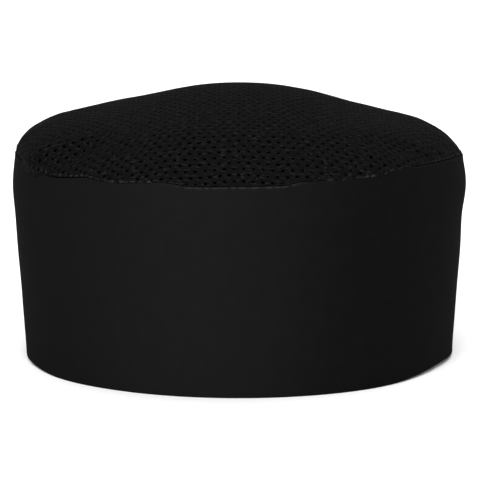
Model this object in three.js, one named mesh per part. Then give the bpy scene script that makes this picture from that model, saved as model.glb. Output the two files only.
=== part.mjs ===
// Chef's skull cap: a tall woven band with a domed mesh crown sewn into its top edge.
// Millimetres, +Z up. The origin is the middle of the bottom edge, on the surface that the cap
// stands on. The brow of the cap faces -Y and the wearer's left is +X.
import * as THREE from "three";

// Sizes of the band
const bottomWidth = 175.2; // outside of the bottom edge, ear to ear
const bottomLength = 187; // outside of the bottom edge, brow to nape
const bandHeight = 84.5; // bottom edge to crown seam at the brow
const bandFlare = 5.3; // how far the band leans out between its bottom edge and its fullest ring
const bandWall = 2; // two layers of twill with an interlining
const hemRound = 0.5; // rounding of the folded bottom edge
const turnInWall = 1; // the cloth that is turned in along the top edge
const seamAllowance = 9; // how deep the top edge and the crown's margin reach down inside

// Sizes of the crown
const crownRise = 26.5; // seam to the top of the dome
const crownWall = 1.2; // one layer of eyelet mesh
const crownSetback = 0.6; // how far the crown's roll stands in from the face of the band
const lipAngle = 35; // degrees: how far down over the band's fold a bulging roll may reach
const seamGap = 0.3; // clearance between the crown and the band

// Facets
const azimuths = 72; // sections round the cap
const foldSteps = 4; // facets over the folded top edge
const rollSteps = 3; // facets under the crown's roll

const foldWidth = bandWall + turnInWall;
const foldRadius = foldWidth / 2;
const rollRadius = foldRadius + seamGap;
const rollLip = crownWall / 2; // the roll's blunt edge

// How far the band has leaned out (share of bandFlare) on its way from hem to fold
const bandProfile = [
  { height: 0, flare: 0 },
  { height: 0.07, flare: 0.07 },
  { height: 0.17, flare: 0.22 },
  { height: 0.36, flare: 0.44 },
  { height: 0.54, flare: 0.65 },
  { height: 0.72, flare: 0.81 },
  { height: 0.84, flare: 1 },
  { height: 0.91, flare: 0.98 },
  { height: 0.96, flare: 0.89 },
  { height: 1, flare: 0.76 },
];

const insideHeights = [0.72, 0.36, 0.07, 0]; // rows of the wall's inner face, downwards

// Where the wall swells (+) or sinks (-): azimuth and spread in degrees from the brow towards +X,
// height and reach as shares of the wall's height, depth as a share of bandWall
const bandDents = [
  { azimuth: 84, spread: 34, height: 0.88, reach: 0.11, depth: 0.3 },
  { azimuth: 88, spread: 34, height: 0.75, reach: 0.09, depth: -0.3 },
  { azimuth: 30, spread: 30, height: 0.46, reach: 0.42, depth: -0.3 },
  { azimuth: -30, spread: 34, height: 0.6, reach: 0.4, depth: 0.25 },
  { azimuth: -74, spread: 26, height: 0.28, reach: 0.3, depth: -0.2 },
  { azimuth: 140, spread: 36, height: 0.55, reach: 0.4, depth: -0.35 },
  { azimuth: -140, spread: 32, height: 0.4, reach: 0.36, depth: 0.3 },
];

// Where the crown seam rises or dips (share of bandHeight)
const seamWaves = [
  { azimuth: 48, spread: 52, lift: 0.035 },
  { azimuth: -14, spread: 15, lift: -0.007 },
  { azimuth: -59, spread: 16, lift: -0.028 },
  { azimuth: 170, spread: 70, lift: 0.008 },
];

// Height of the dome (share of crownRise) from its top, share 0, to the seam, share 1.
// Left is -X and right is +X, as seen by someone who faces the brow.
const domeProfile = [
  { share: 0, front: 1, right: 1, back: 1, left: 1 },
  { share: 0.14, front: 0.985, right: 0.985, back: 0.98, left: 0.985 },
  { share: 0.3, front: 0.94, right: 0.9, back: 0.92, left: 0.9 },
  { share: 0.45, front: 0.865, right: 0.75, back: 0.83, left: 0.75 },
  { share: 0.6, front: 0.765, right: 0.58, back: 0.71, left: 0.63 },
  { share: 0.74, front: 0.63, right: 0.475, back: 0.57, left: 0.55 },
  { share: 0.85, front: 0.4, right: 0.385, back: 0.42, left: 0.465 },
  { share: 0.915, front: 0.24, right: 0.28, back: 0.3, left: 0.37 },
  { share: 0.957, front: 0.125, right: 0.185, back: 0.19, left: 0.285 },
  { share: 0.985, front: 0.045, right: 0.09, back: 0.08, left: 0.2 },
  { share: 1, front: 0, right: 0, back: 0, left: 0 },
];
const domeSides = ["front", "right", "back", "left"]; // a quarter turn apart
const undersideShares = [0.14, 0.3, 0.45, 0.6, 0.74, 0.85, 0.915, 0.95];
const poleShare = 0.02; // where the underside's slope at its pole is measured
const seamPull = 4; // power of the share by which the dome takes up the seam's waves
const rimHold = 12; // power of the share that keeps dents and tucks off the seam itself

// Where the mesh rolls out over the band's edge (share of crownSetback)
const rollBulges = [
  { azimuth: -29, spread: 15, out: 1.7 },
  { azimuth: 34, spread: 24, out: 1.5 },
  { azimuth: -120, spread: 26, out: 1.2 },
  { azimuth: 128, spread: 30, out: 1.3 },
];

// Slack hollows of the crown: place and reach as shares of its half width and half length,
// depth as a share of crownRise
const crownDents = [
  { across: -0.63, along: -0.62, reach: 0.24, depth: 0.1 },
  { across: 0.6, along: -0.64, reach: 0.2, depth: 0.05 },
  { across: 0.5, along: 0.55, reach: 0.3, depth: 0.05 },
  { across: -0.35, along: 0.7, reach: 0.26, depth: 0.06 },
];

// Tucks that the seam gathers into the crown: half width in degrees, reach as a share of the
// way to the top, depth as a share of crownRise
const seamTucks = [
  { azimuth: -64, spread: 8, reach: 0.17, depth: 0.05 },
  { azimuth: -40, spread: 7, reach: 0.13, depth: 0.035 },
  { azimuth: 33, spread: 8, reach: 0.22, depth: 0.05 },
  { azimuth: 76, spread: 9, reach: 0.16, depth: 0.04 },
  { azimuth: 112, spread: 8, reach: 0.15, depth: 0.04 },
  { azimuth: 152, spread: 9, reach: 0.2, depth: 0.05 },
  { azimuth: -168, spread: 8, reach: 0.16, depth: 0.04 },
  { azimuth: -128, spread: 9, reach: 0.18, depth: 0.045 },
  { azimuth: -96, spread: 8, reach: 0.14, depth: 0.035 },
];

// A soft bump: 1 at its middle and 0 from its reach outwards
function bell(distance, reach) {
  return Math.abs(distance) < reach ? (1 + Math.cos((Math.PI * distance) / reach)) / 2 : 0;
}

// Degrees from one azimuth to another, the short way round
function turn(from, to) {
  return THREE.MathUtils.euclideanModulo(to - from + 180, 360) - 180;
}

// The value of a table's column where its key column is at a given place
function lookUp(table, key, column, place) {
  const last = table.findIndex((row) => row[key] >= place);
  if (last <= 0) return table[0][column];
  const [low, high] = [table[last - 1], table[last]];
  return THREE.MathUtils.mapLinear(place, low[key], high[key], low[column], high[column]);
}

// A point on the bottom edge's oval, moved outwards by a distance
function onOval(azimuth, out) {
  const angle = THREE.MathUtils.degToRad(azimuth);
  const [sine, cosine] = [Math.sin(angle), Math.cos(angle)];
  const [halfWidth, halfLength] = [bottomWidth / 2, bottomLength / 2];
  const outward = new THREE.Vector2(sine / halfWidth, -cosine / halfLength).normalize();
  return new THREE.Vector2(halfWidth * sine, -halfLength * cosine).addScaledVector(outward, out);
}

// Height of the band's top edge
function seamHeight(azimuth) {
  const lift = seamWaves.reduce(
    (sum, wave) => sum + wave.lift * bell(turn(wave.azimuth, azimuth), wave.spread),
    0,
  );
  return bandHeight * (1 + lift);
}

// How far the band's face stands out from the oval at a share of its height
function bandFace(azimuth, height) {
  const swell = bandDents.reduce(
    (sum, dent) =>
      sum +
      dent.depth *
        bell(turn(dent.azimuth, azimuth), dent.spread) *
        bell(height - dent.height, dent.reach),
    0,
  );
  return bandFlare * lookUp(bandProfile, "height", "flare", height) + bandWall * swell;
}

// The band's section at an azimuth, from the hem up the outside and down the inside
function bandSection(azimuth) {
  const top = seamHeight(azimuth) - foldRadius;
  const point = (out, z) => ({ out, z });
  const level = (height) => THREE.MathUtils.lerp(hemRound, top, height);
  const face = (height) => bandFace(azimuth, height);
  const cornerOut = hemRound * (1 - Math.SQRT1_2);

  const outside = bandProfile.map((row) => point(face(row.height), level(row.height)));
  const centre = face(1) - foldRadius;
  const fold = [];
  for (let step = 1; step <= foldSteps; step++) {
    const angle = (Math.PI * step) / foldSteps;
    fold.push(point(centre + foldRadius * Math.cos(angle), top + foldRadius * Math.sin(angle)));
  }
  const marginEnd = marginHeight(azimuth);
  const inside = [
    point(face(marginEnd) - foldWidth, level(marginEnd)),
    point(face(marginEnd) - bandWall, level(marginEnd) - turnInWall),
    ...insideHeights.map((height) => point(face(height) - bandWall, level(height))),
  ];
  const hem = [
    point(face(0) - bandWall + cornerOut, cornerOut),
    point(face(0) - bandWall + hemRound, 0),
    point(face(0) - hemRound, 0),
    point(face(0) - cornerOut, cornerOut),
  ];
  return [...outside, ...fold, ...inside, ...hem];
}

// Where the turned-in edge ends, as a share of the band's height
function marginHeight(azimuth) {
  return 1 - (seamAllowance - foldRadius) / (seamHeight(azimuth) - foldRadius - hemRound);
}

// How far the crown's roll stands out from the oval
function rollFace(azimuth) {
  const bulge = rollBulges.reduce(
    (sum, roll) => sum + roll.out * bell(turn(roll.azimuth, azimuth), roll.spread),
    0,
  );
  return bandFace(azimuth, 1) - crownSetback * (1 - bulge);
}

// The angle over the band's fold at which the crown's roll ends, straight below the roll's face
function rollAngle(azimuth) {
  const reach = rollFace(azimuth) - (bandFace(azimuth, 1) - foldRadius);
  return Math.max(Math.acos(Math.min(reach / rollRadius, 1)), THREE.MathUtils.degToRad(lipAngle));
}

// A point of the dome's outer surface
function domePoint(azimuth, share) {
  const rim = onOval(azimuth, rollFace(azimuth));
  const [x, y] = [rim.x * share, rim.y * share];
  const rise = domeSides.reduce((sum, side, quarter) => {
    const facing = Math.cos(THREE.MathUtils.degToRad(azimuth) - (quarter * Math.PI) / 2);
    return sum + Math.max(0, facing) ** 2 * lookUp(domeProfile, "share", side, share);
  }, 0);
  const halfWidth = onOval(90, rollFace(90)).x;
  const halfLength = onOval(180, rollFace(180)).y;
  const dent = crownDents.reduce((sum, hollow) => {
    const distance = Math.hypot(x / halfWidth - hollow.across, y / halfLength - hollow.along);
    return sum + hollow.depth * bell(distance, hollow.reach);
  }, 0);
  const tuck = seamTucks.reduce((sum, gather) => {
    const middle = 1 - gather.reach / 2;
    const across = bell(turn(gather.azimuth, azimuth), gather.spread);
    return sum + gather.depth * across * bell(share - middle, gather.reach / 2);
  }, 0);
  const foot = seamHeight(azimuth) - foldRadius + rollRadius * Math.sin(rollAngle(azimuth)) + rollLip;
  const z = THREE.MathUtils.lerp(bandHeight + seamGap, foot, share ** seamPull);
  const pinned = 1 - share ** rimHold;
  return new THREE.Vector3(x, y, z + crownRise * (rise - (dent + tuck) * pinned));
}

// The dome's surface moved inwards by the mesh's thickness
function domeUnderside(azimuth, share) {
  const [turnStep, shareStep] = [1, 0.01];
  const here = domePoint(azimuth, share);
  const round = domePoint(azimuth + turnStep, share).sub(domePoint(azimuth - turnStep, share));
  const inward = domePoint(azimuth, share - shareStep).sub(domePoint(azimuth, share + shareStep));
  return here.addScaledVector(round.cross(inward).normalize(), -crownWall);
}

// The crown's margin inside the band and the roll over the band's edge, up to the roll's lip
function crownMargin(azimuth) {
  const top = seamHeight(azimuth) - foldRadius;
  const centre = bandFace(azimuth, 1) - foldRadius;
  const marginEnd = marginHeight(azimuth);
  const marginBottom = THREE.MathUtils.lerp(hemRound, top, marginEnd);
  const marginFace = bandFace(azimuth, marginEnd) - foldWidth - seamGap;
  const point = (out, z) => {
    const place = onOval(azimuth, out);
    return new THREE.Vector3(place.x, place.y, z);
  };
  const layer = rollRadius + crownWall;
  const inside = [
    point(centre - layer * Math.SQRT1_2, top + layer * Math.SQRT1_2),
    point(centre - layer, top),
    point(marginFace - crownWall, marginBottom),
    point(marginFace, marginBottom),
  ];
  const roll = [];
  for (let step = 0; step <= rollSteps; step++) {
    const angle = THREE.MathUtils.lerp(Math.PI, rollAngle(azimuth), step / rollSteps);
    roll.push(point(centre + rollRadius * Math.cos(angle), top + rollRadius * Math.sin(angle)));
  }
  return [...inside, ...roll];
}

// Joins sections of equally many points, set round the cap, into one closed skin. Each section
// runs with the solid on its left, and either closes on itself or ends in two poles.
function skinOf(sections, poles) {
  const count = sections[0].length;
  const corners = sections.flat();
  const index = (section, place) => (section % sections.length) * count + (place % count);
  const triangles = [];
  const rows = poles ? count - 1 : count;
  for (let section = 0; section < sections.length; section++) {
    for (let place = 0; place < rows; place++) {
      const [low, lowNext] = [index(section, place), index(section + 1, place)];
      const [high, highNext] = [index(section, place + 1), index(section + 1, place + 1)];
      if (!(poles && place === 0)) triangles.push(low, lowNext, highNext);
      if (!(poles && place === rows - 1)) triangles.push(low, highNext, high);
    }
  }
  const geometry = new THREE.BufferGeometry().setFromPoints(corners);
  geometry.setIndex(triangles);
  geometry.computeVertexNormals();
  return geometry;
}

const turns = Array.from({ length: azimuths }, (_, step) => (360 * step) / azimuths);

// Band: one closed wall of folded twill
function makeBand() {
  const sections = turns.map((azimuth) =>
    bandSection(azimuth).map(({ out, z }) => {
      const place = onOval(azimuth, out);
      return new THREE.Vector3(place.x, place.y, z);
    }),
  );
  const twill = new THREE.MeshStandardMaterial({ color: 0x1c1c1d, roughness: 0.9, metalness: 0 });
  const band = new THREE.Mesh(skinOf(sections, false), twill);
  band.name = "band";
  return band;
}

// Crown: a thin dome whose margin hangs inside the band's top edge
function makeCrown() {
  const outerShares = domeProfile.map((row) => row.share).reverse();
  const sections = turns.map((azimuth) => [
    domeUnderside(0, poleShare).setX(0).setY(0),
    ...undersideShares.map((share) => domeUnderside(azimuth, share)),
    ...crownMargin(azimuth),
    ...outerShares.map((share) => domePoint(azimuth, share)),
  ]);
  const mesh = new THREE.MeshStandardMaterial({ color: 0x171718, roughness: 0.85, metalness: 0 });
  const crown = new THREE.Mesh(skinOf(sections, true), mesh);
  crown.name = "crown_mesh";
  return crown;
}

const cap = new THREE.Group();
cap.add(makeBand(), makeCrown());
export default cap;
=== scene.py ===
# %% [markdown]
# # A chef's skull cap
#
# The real cap is sewn from two pieces of black cloth. A tall band of twill is folded double and
# stands on its folded edge. A round crown of eyelet mesh is eased into the band's top edge.
#
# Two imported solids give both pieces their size, place and main form. This script reads that form
# with rays and builds the cloth on it, so nothing has to be fitted by eye: the wall's folds, the
# real holes of the mesh, the puckers of the seam and the threads inside.

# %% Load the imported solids
import math

import bmesh
import bpy
import numpy as np
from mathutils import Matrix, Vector
from mathutils.bvhtree import BVHTree


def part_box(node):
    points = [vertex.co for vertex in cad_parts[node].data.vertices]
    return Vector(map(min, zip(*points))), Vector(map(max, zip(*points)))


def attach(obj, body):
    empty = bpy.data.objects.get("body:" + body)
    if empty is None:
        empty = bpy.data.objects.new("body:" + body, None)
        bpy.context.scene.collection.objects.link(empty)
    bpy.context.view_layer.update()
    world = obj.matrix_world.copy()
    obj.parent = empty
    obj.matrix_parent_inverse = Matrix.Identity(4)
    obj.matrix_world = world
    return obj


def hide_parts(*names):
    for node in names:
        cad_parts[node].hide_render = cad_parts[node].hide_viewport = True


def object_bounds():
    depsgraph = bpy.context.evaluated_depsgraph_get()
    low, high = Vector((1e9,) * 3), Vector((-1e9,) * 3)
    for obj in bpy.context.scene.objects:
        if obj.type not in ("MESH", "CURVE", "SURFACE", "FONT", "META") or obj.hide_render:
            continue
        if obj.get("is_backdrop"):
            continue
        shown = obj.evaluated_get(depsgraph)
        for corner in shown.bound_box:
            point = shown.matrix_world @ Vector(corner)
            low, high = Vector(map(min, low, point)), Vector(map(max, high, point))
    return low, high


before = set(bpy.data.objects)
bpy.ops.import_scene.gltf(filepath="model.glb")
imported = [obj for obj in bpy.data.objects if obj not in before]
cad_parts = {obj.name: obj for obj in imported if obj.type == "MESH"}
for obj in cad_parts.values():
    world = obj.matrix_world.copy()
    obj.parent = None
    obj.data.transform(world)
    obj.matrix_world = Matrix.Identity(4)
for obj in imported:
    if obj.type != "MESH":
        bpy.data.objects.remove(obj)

MM = 0.001
cad_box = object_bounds()
cap_size = cad_box[1] - cad_box[0]
print("cap, mm:", [round(side / MM, 1) for side in cap_size])

# %% [markdown]
# ## Camera
#
# The cap is seen from the brow, a little from above, with a long lens: both edges of the band
# show nearly the same width, which only happens from far away. The numbers come from fitting the
# outlines of the crown seam and of the bottom edge. The camera is made first.

# %% Set up the camera
VIEW_ELEVATION = math.radians(9.56)
VIEW_DISTANCE = 1.989
VIEW_HEIGHT = 50 * MM  # the lens points at the axis of the cap, this high
PICTURE_SIDE = 480
FOCAL_PIXELS = 4833
CENTRE_PIXEL = (238.9, 234.1)  # where the lens points, in the picture
SENSOR = 0.036

lens = bpy.data.cameras.new("camera")
lens.sensor_width = SENSOR / MM
lens.lens = SENSOR / MM * FOCAL_PIXELS / PICTURE_SIDE
lens.shift_x = (PICTURE_SIDE / 2 - CENTRE_PIXEL[0]) / PICTURE_SIDE
lens.shift_y = (CENTRE_PIXEL[1] - PICTURE_SIDE / 2) / PICTURE_SIDE
lens.clip_start = 0.1
camera = bpy.data.objects.new("camera", lens)
back = Vector((0, -math.cos(VIEW_ELEVATION), math.sin(VIEW_ELEVATION)))
camera.location = Vector((0, 0, VIEW_HEIGHT)) + back * VIEW_DISTANCE
camera.rotation_euler = (math.pi / 2 - VIEW_ELEVATION, 0, 0)
bpy.context.scene.collection.objects.link(camera)
bpy.context.scene.camera = camera
print("lens, mm:", round(lens.lens, 1))

# %% [markdown]
# ## Reading the solids
#
# A solid is a coarse, faceted copy of the cloth. A ray from outside gives how far its face is from
# the cap's axis at any azimuth and height. Taking many such readings on a regular grid, and
# smoothing the grid, turns flat facets back into the soft curve that cloth has, without pulling
# the shape in as a subdivision surface would.

# %% Cast rays at a solid
TURNS = 360
FAR = 0.3
WELD = 0.001 * MM  # corners that lie this close together are one corner
azimuths = np.arange(TURNS) * 2 * math.pi / TURNS  # from the brow (-Y) towards +X


def skin_of(node):
    """A copy of a solid's skin that rays can hit."""
    copy = bmesh.new()
    copy.from_mesh(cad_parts[node].data)
    bmesh.ops.remove_doubles(copy, verts=copy.verts, dist=WELD)
    tree = BVHTree.FromBMesh(copy)
    copy.free()
    return tree


def sideways(azimuth):
    return Vector((math.sin(azimuth), -math.cos(azimuth), 0))


def reach_at(tree, azimuth, height):
    """How far the outside of a solid is from the axis, or 0 where it isn't that high."""
    start = sideways(azimuth) * FAR + Vector((0, 0, height))
    hit = tree.ray_cast(start, -sideways(azimuth))[0]
    return hit.dot(sideways(azimuth)) if hit else 0


def top_at(tree, azimuth, reach):
    """The height of a solid's top at a distance from the axis."""
    hit = tree.ray_cast(sideways(azimuth) * reach + Vector((0, 0, FAR)), Vector((0, 0, -1)))[0]
    return hit.z


# %% Smooth a grid of readings, and read between its samples
def bell(width):
    """Weights that add up to 1, for a smoothing of this width in samples."""
    steps = np.arange(-3 * width, 3 * width + 1)
    curve = np.exp(-0.5 * (steps / width) ** 2)
    return curve / curve.sum()


def blurred(field, turns, places):
    """A field of rings smoothed by bell curves: so many samples round the cap and along a ring."""
    for axis, width, ends in ((0, turns, "wrap"), (1, places, "edge")):
        if width:
            margin = [(3 * width, 3 * width) if axis == a else (0, 0) for a in (0, 1)]
            wide = np.pad(field, margin, mode=ends)
            field = np.apply_along_axis(np.convolve, axis, wide, bell(width), mode="valid")
    return field


def blurred_ring(ring, turns):
    """One value for each azimuth, smoothed round the cap."""
    return blurred(ring[:, None], turns, 0)[:, 0]


def read(field, azimuth, place=None):
    """The values of a field at azimuths, and at places from 0 to 1 along its second axis."""
    turn = np.mod(np.asarray(azimuth) / (2 * math.pi), 1) * TURNS
    low = np.floor(turn).astype(int) % TURNS
    high, part = (low + 1) % TURNS, turn - np.floor(turn)
    if place is None:
        return field[low] * (1 - part) + field[high] * part
    last = field.shape[1] - 1
    step = np.clip(place, 0, 1) * last
    near = np.minimum(np.floor(step).astype(int), last - 1)
    share = step - near
    start = field[low, near] * (1 - part) + field[high, near] * part
    end = field[low, near + 1] * (1 - part) + field[high, near + 1] * part
    return start * (1 - share) + end * share


# %% Read the band: its top edge and its face
HEM = 0.5 * MM  # height at which the face of the band starts, above its rounded edge
FOLD = 1.5 * MM  # half the thickness of the turned-in top edge
LEVELS = 60
FIRST_LOOK = 0.9  # share of the band's height where the first reading is taken
CREST_LOOKS = 3  # how often the reading is corrected
band_skin = skin_of("band")
band_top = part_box("band")[1].z


def read_crest(azimuth):
    """Height of the band's top edge, found by turns with the reach of the face below it."""
    reach = reach_at(band_skin, azimuth, FIRST_LOOK * band_top)
    for _ in range(CREST_LOOKS):
        crest = top_at(band_skin, azimuth, reach - FOLD)
        reach = reach_at(band_skin, azimuth, crest - FOLD)
    return crest


crest = np.array([read_crest(azimuth) for azimuth in azimuths])
shares = np.linspace(0, 1, LEVELS + 1)
face = np.array(
    [
        [reach_at(band_skin, azimuth, HEM + share * (top - FOLD - HEM)) for share in shares]
        for azimuth, top in zip(azimuths, crest)
    ]
)
crest = blurred_ring(crest, turns=3)
face = blurred(face, turns=4, places=2)
solid_crest = crest.copy()

# %% [markdown]
# The seam in the photograph isn't a smooth line. It climbs and drops in short steps where the
# sewer eased the mesh in. The solids keep its long waves, and this table adds the steps.

# %% Add the steps of the seam
SEAM_STEPS = [
    # azimuth in degrees, rise in mm
    (-80, 0), (-70, 0.6), (-64, 1.0), (-59, 0.7), (-55, 0), (-50, -0.5), (-44, -0.3),
    (-41, 0.4), (-38.5, 0.3), (-36, -0.4), (-30, 0.2), (-25, 1.0), (-20, 1.6), (-16.5, 1.7),
    (-13, 0.6), (-10, 0.5), (0, 0.4), (6, 0.1), (11.5, -0.1), (14.5, 1.0), (20, 0.5), (25, 0),
    (30, -0.1), (36, -0.5), (39, 0.7), (45, 0.4), (55, 0.1), (62, 0), (72, -0.1), (78, -0.4),
    (88, -0.6), (98, -0.6), (112, 0),
]
degrees = np.degrees(np.mod(azimuths + math.pi, 2 * math.pi) - math.pi)
steps_at, steps_up = np.array(SEAM_STEPS).T
seam_step = blurred_ring(np.interp(degrees, steps_at, steps_up) * MM, turns=1)
crest = solid_crest + seam_step
print("band, mm: top edge", round(crest.min() / MM, 1), "to", round(crest.max() / MM, 1))

# %% [markdown]
# The solid stands flat on its bottom edge, but a soft hem doesn't. At the front right it comes off
# the table by a millimetre or two and tucks in. A second table says where, and the wall follows
# the hem less and less towards the top.

# %% Set how far the soft hem stands off the table
HEM_LIFTS = [
    # azimuth in degrees, how far the hem is lifted and pushed out in mm
    (-110, 0, 0), (-90, 0.5, 0), (-76, 0.8, 0), (-66, 0.5, 0), (-56, 0, 0.4), (-46, 0, 0.4),
    (-36, 0, 0), (36, 0, 0), (46, 0.3, -0.5), (56, 1.0, -1.2), (64, 1.5, -1.5), (71, 1.6, -1.3),
    (77, 1.5, -0.5), (83, 1.3, 0.3), (92, 0.9, 0.6), (106, 0.3, 0.3), (122, 0, 0),
]
HEM_FADE = 4  # power of the share of the height by which the lift fades out
lifts_at, *lifts = np.array(HEM_LIFTS).T
hem_up, hem_out = (
    blurred_ring(np.interp(degrees, lifts_at, lift) * MM, turns=2) for lift in lifts
)
print("hem lifted off the table by, mm:", round(hem_up.max() / MM, 2))

# %% Read the crown: its rim and its dome
DOME_RINGS = 80
crown_skin = skin_of("crown_mesh")
rim_heights = np.arange(-0.6, 2.4, 0.15) * MM  # where the rim is looked for, above the crest
rim = np.array(
    [
        max(reach_at(crown_skin, azimuth, top + rise) for rise in rim_heights)
        for azimuth, top in zip(azimuths, solid_crest)
    ]
)
dome_shares = np.linspace(0, 1, DOME_RINGS + 1)
RIM_INSET = 0.04 * MM  # keeps the last ring of rays on the solid
dome = np.array(
    [
        [top_at(crown_skin, azimuth, share * (reach - RIM_INSET)) for share in dome_shares]
        for azimuth, reach in zip(azimuths, rim)
    ]
)
rim = blurred_ring(rim, turns=3)
dome = blurred(dome, turns=4, places=1)

# %% [markdown]
# The crown's edge follows the steps of the seam. At the brow it sits back from the band's edge, and
# on both sides of it slack mesh hangs out over that edge in soft lips. The lips are a table too.

# %% Move the crown's edge with the steps, and back from the band's edge at the brow
STEP_FADE = 0.12  # share of the dome that moves with a step of the seam
SET_BACK = 1.5 * MM
SET_BACK_HALF_WIDTH = 13.5  # degrees
SET_BACK_POWER = 10  # the higher, the more sudden its ends
SINK = 0.85 * MM  # how far the crown sinks onto the band at the brow
SETTLE = 0.25 * MM  # and everywhere else
SLACK_LIPS = [
    # where slack mesh hangs over the band: azimuth and spread in degrees, out and down in mm
    (-88, 9, 0.15, 0),
    (-65, 7, 1.6, 5.5),
    (-56, 5, 0.5, 0.4),
    (-27, 9, 0.3, 0.2),
    (33, 12, 0.2, 0.1),
    (80, 16, -0.6, 0),
]


def hump(away, spread):
    """A soft rise, 1 in its middle, at distances from the middle."""
    return np.exp(-((away / spread) ** 2))


near_rim = np.exp(-(1 - dome_shares) / STEP_FADE)
set_back = 1 / (1 + (degrees / SET_BACK_HALF_WIDTH) ** SET_BACK_POWER)
sunk = SINK * set_back + SETTLE * (1 - set_back)
dome = dome + (seam_step - sunk)[:, None] * near_rim[None, :]
slack_out = sum(hump(degrees - at, spread) * out for at, spread, out, _ in SLACK_LIPS) * MM
slack_down = sum(hump(degrees - at, spread) * down for at, spread, _, down in SLACK_LIPS) * MM
rim = rim - SET_BACK * set_back + slack_out
front = np.argmin(np.abs(degrees))
above = dome[front, -1] - crest[front]
print("crown's edge above the band's at the brow, mm:", round(above / MM, 2))
print("crown, mm: rim", round(rim.min() / MM, 1), "to", round(rim.max() / MM, 1))

# %% [markdown]
# ## Easing and puckers
#
# A flat disc of cloth has more edge than the band has, so the maker eases it in: the seam gathers
# both edges into small irregular waves. Those waves are what makes a seam look sewn. They are a
# sum of a few sine waves with seeded phases, strongest at the seam, and both the band and the
# crown read the same sum, so that the two edges stay together.

# %% Describe the waves that the seam gathers
waves = np.random.default_rng(11)


def draw_waves(counts):
    """Waves as (times round the cap, phase, size)."""
    return [(n, waves.uniform(0, 2 * math.pi), waves.uniform(0.5, 1)) for n in counts]


GATHERS = draw_waves(range(31, 67, 5))
GATHER_DEPTH = 0.16 * MM
GATHER_MEAN, GATHER_SWING = 0.6, 0.4  # some stretches of the seam are calmer than others
SWING_COUNT, SWING_PHASE = 3, 1
GATHER_FADE = 5 * MM  # how far the gathers reach down the band
BROAD = draw_waves((5, 7, 11, 16))
BROAD_DEPTH = 0.1 * MM
BROAD_SLANT = 14 * MM  # rise over which a broad wave leans by one radian


def sum_of_waves(table, azimuth, slant=0):
    return sum(size * np.sin(count * azimuth + phase + slant) for count, phase, size in table)


def seam_gather(azimuth):
    """How far the seam stands in or out of its smooth line."""
    depth = GATHER_MEAN + GATHER_SWING * np.sin(SWING_COUNT * azimuth + SWING_PHASE)
    return GATHER_DEPTH * depth * sum_of_waves(GATHERS, azimuth)


def band_waves(azimuth, height):
    """How far the face of the band stands in or out: gathers at the top, broad waves below."""
    under_seam = np.maximum(read(crest, azimuth) - height, 0)
    gathers = seam_gather(azimuth) * np.exp(-under_seam / GATHER_FADE)
    loose = np.sin(np.clip(height / band_top, 0, 1) * math.pi)
    return gathers + BROAD_DEPTH * loose * sum_of_waves(BROAD, azimuth, height / BROAD_SLANT)


# %% [markdown]
# ## The band
#
# The band is one wall of doubled cloth: up the outside from the folded hem, over the turned top
# edge, down the narrow margin inside and on down the inner face. A section like that, carried
# round an oval, could be a loft of rings or a subdivided tube. A spin is the simplest start: the
# section is drawn once and turned round the axis. Each of its points keeps what it is as a share
# of the band's height, so that afterwards one formula moves the round tube onto the oval, flaring,
# wavy form that was read from the solid.

# %% List the band's section
WALL = 2 * MM
MARGIN_DEPTH = 9 * MM  # how far the turned-in edge reaches down inside
MARGIN_SHARE = 1 - (MARGIN_DEPTH - FOLD) / (float(crest.mean()) - FOLD - HEM)
HEM_CORNER = 0.75 * MM
HEM_START = 0.006  # share of the height where the flat wall starts, above the hem's rounding
FACE_ROWS, FOLD_ROWS, MARGIN_ROWS, INNER_ROWS, CORNER_ROWS = 58, 13, 6, 34, 4
PRESSED = 0.5  # power that squares the fold's outer corner; 1 would leave it round
CUT_IN, CUT_DOWN = 0.3, 0.5  # shares that round the step under the turned-in edge


def band_section():
    """Points of the section as (share of the height, offset outwards, offset upwards)."""
    points = [(share, 0, 0) for share in np.linspace(HEM_START, 1, FACE_ROWS)]
    for angle in np.linspace(0, math.pi, FOLD_ROWS)[1:]:
        power = PRESSED if math.cos(angle) > 0 else 1
        across = math.copysign(abs(math.cos(angle)) ** power, math.cos(angle))
        points.append((1, FOLD * (across - 1), FOLD * math.sin(angle) ** power))
    for share in np.linspace(1, MARGIN_SHARE, MARGIN_ROWS)[1:]:
        points.append((share, -2 * FOLD, 0))
    step = 2 * FOLD - WALL
    points.append((MARGIN_SHARE, -2 * FOLD + step * CUT_IN, -step * CUT_DOWN))
    points.append((MARGIN_SHARE, -WALL, -step))
    lowest = MARGIN_SHARE - 2 * step / band_top
    points += [(share, -WALL, 0) for share in np.linspace(lowest, HEM_START, INNER_ROWS)[1:]]
    for centre, start in ((-WALL + HEM_CORNER, math.pi), (-HEM_CORNER, 1.5 * math.pi)):
        for angle in np.linspace(start, start + math.pi / 2, CORNER_ROWS):
            up = HEM_CORNER - HEM + HEM_CORNER * math.sin(angle)
            points.append((0, centre + HEM_CORNER * math.cos(angle), up))
    return points


section = band_section()
print("band section:", len(section), "points")

# %% Spin the section and move it onto the solid's form
BAND_TURNS = 420
BACK_SEAM_WIDTH = 1.1 * MM
BACK_SEAM_DEPTH = 0.55 * MM
RIDGE_WIDTH = 3 * MM  # of the seam allowance that shows as a soft ridge on both sides
RIDGE_SHARE = 0.25  # of the seam's depth


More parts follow.
